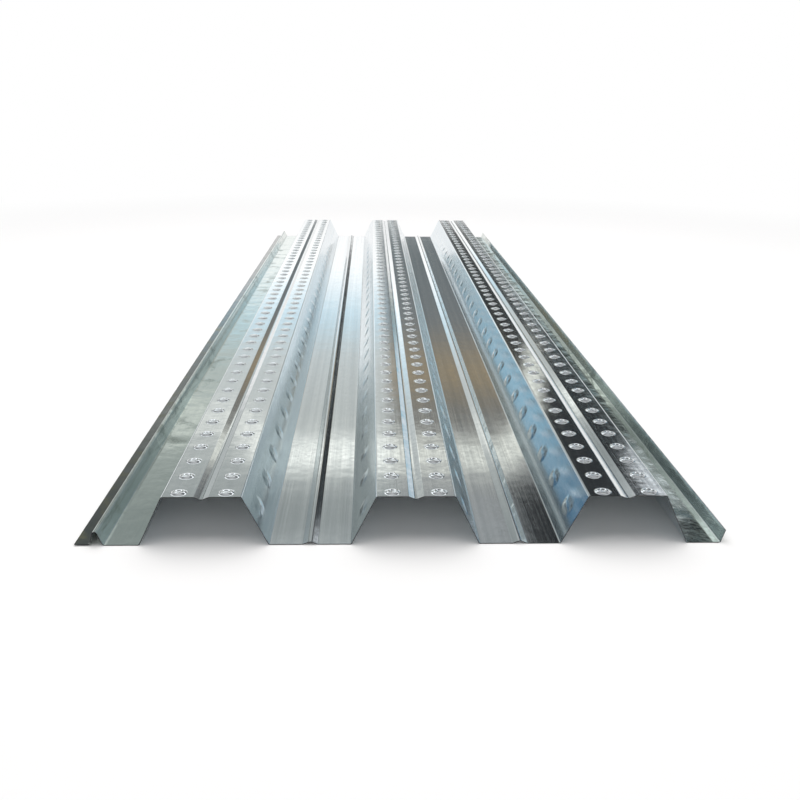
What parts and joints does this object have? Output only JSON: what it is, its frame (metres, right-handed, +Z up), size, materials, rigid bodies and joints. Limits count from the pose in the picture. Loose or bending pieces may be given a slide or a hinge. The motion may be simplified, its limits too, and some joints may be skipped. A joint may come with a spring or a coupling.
{
  "type": "steel floor decking sheet",
  "caption": "Galvanised steel floor deck sheet with wide trapezoidal ribs, grooved and embossed crests, ribbed troughs and hooked side laps, used as permanent formwork under a concrete slab.",
  "frame": {"origin": "middle of the sheet's bounding box, on the underside of the troughs", "axes": "+Y along the sheet, +X across it towards the upturned lip, +Z up through the crests"},
  "size_m": [0.9442, 3, 0.0785],
  "materials": {
    "galvanised_steel": "bright hot-dip galvanised, with rolling streaks and water marks"
  },
  "bodies": {
    "root": {"decking_sheet": "galvanised_steel"}
  },
  "joints": []
}
